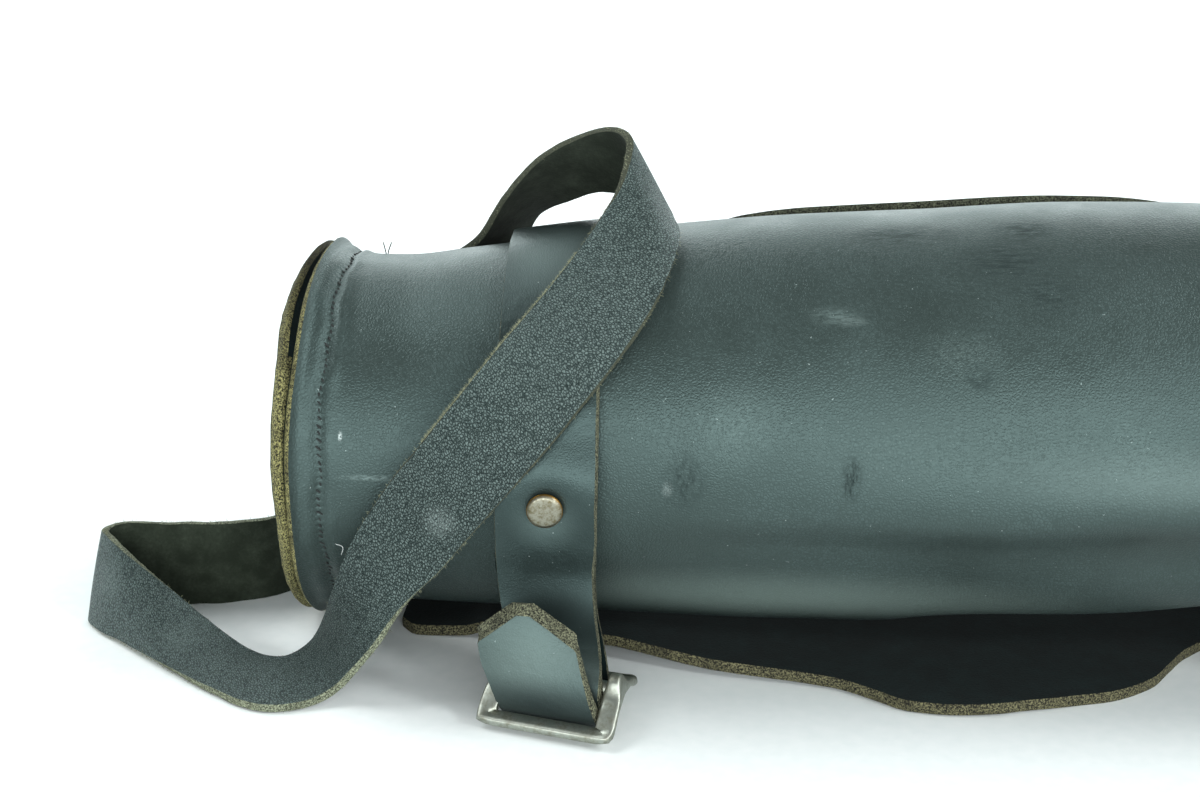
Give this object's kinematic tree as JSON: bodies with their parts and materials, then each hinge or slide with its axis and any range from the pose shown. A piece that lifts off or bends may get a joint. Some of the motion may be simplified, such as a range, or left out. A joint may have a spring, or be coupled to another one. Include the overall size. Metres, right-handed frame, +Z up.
{
  "type": "motorcycle tool bag",
  "caption": "Rolled black leather tool bag lying on its side, with sewn end caps, a flap over the mouth underneath, buckled closing straps and a long riveted carry strap.",
  "frame": {"origin": "on the surface the bag lies on, under the middle of its length, on the flat underside of the flap", "axes": "+X along the bag to the right as seen from the front, -Y to the front where the buckles are, +Z up"},
  "size_m": [0.4251, 0.1463, 0.1346],
  "materials": {
    "bag_leather": "smooth black grain, semi-matt, scuffed, with tan cut edges",
    "flap_leather": "dark suede flesh side facing up at the front, smooth black grain on the other side",
    "strap_leather": "smooth black, satin, with thin tan cut edges",
    "carry_leather": "soft pebbled black grain, matt, with fuzzy pale cut edges and a suede flesh side",
    "aged_nickel": "dull aged nickel with bright worn edges"
  },
  "bodies": {
    "root": {"body": "bag_leather", "end_left": "bag_leather", "end_right": "bag_leather", "flap": "flap_leather", "strap_left": "strap_leather", "strap_right": "strap_leather", "rivet_left": "aged_nickel", "rivet_right": "aged_nickel", "buckle_left": "aged_nickel", "buckle_right": "aged_nickel", "carry_strap": "carry_leather", "carry_rivet_left": "aged_nickel", "carry_rivet_right": "aged_nickel"}
  },
  "joints": []
}
